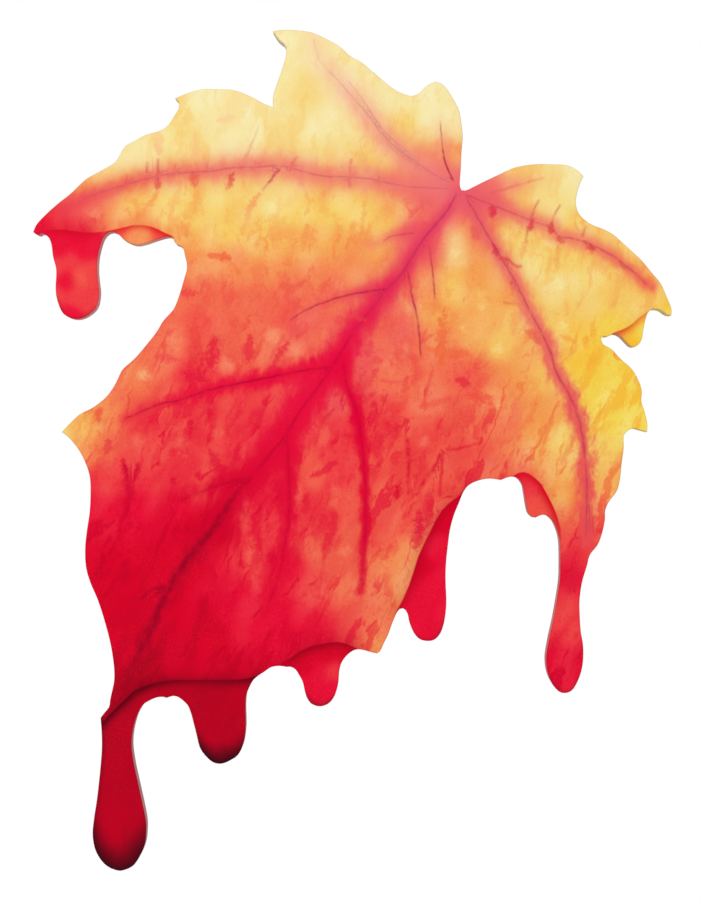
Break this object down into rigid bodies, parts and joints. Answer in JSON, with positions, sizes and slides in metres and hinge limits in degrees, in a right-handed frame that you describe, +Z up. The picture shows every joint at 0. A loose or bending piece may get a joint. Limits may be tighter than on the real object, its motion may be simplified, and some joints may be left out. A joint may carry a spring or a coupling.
{
  "type": "painted leaf-shaped wall panel",
  "caption": "Flat wall panel sawn to the outline of a maple leaf that melts into drips, airbrushed from pale yellow to crimson, with keyhole hangers let into its back.",
  "frame": {"origin": "on the back face, midway between the two points where the hangers rest on their wall screws", "axes": "+Z up as it hangs, +Y out of the back face towards the wall, so the painted face looks along -Y, and +X to the right as seen from the front"},
  "size_m": [0.6387, 0.012, 0.8415],
  "materials": {
    "painted_board": "satin paint on the face and edges, sealed bare wood on the back",
    "hanger_steel": "bright zinc",
    "screw_steel": "yellow zinc"
  },
  "bodies": {
    "root": {"board": "painted_board", "left_hanger_plate": "hanger_steel", "left_upper_screw": "screw_steel", "left_lower_screw": "screw_steel", "right_hanger_plate": "hanger_steel", "right_upper_screw": "screw_steel", "right_lower_screw": "screw_steel"}
  },
  "joints": []
}
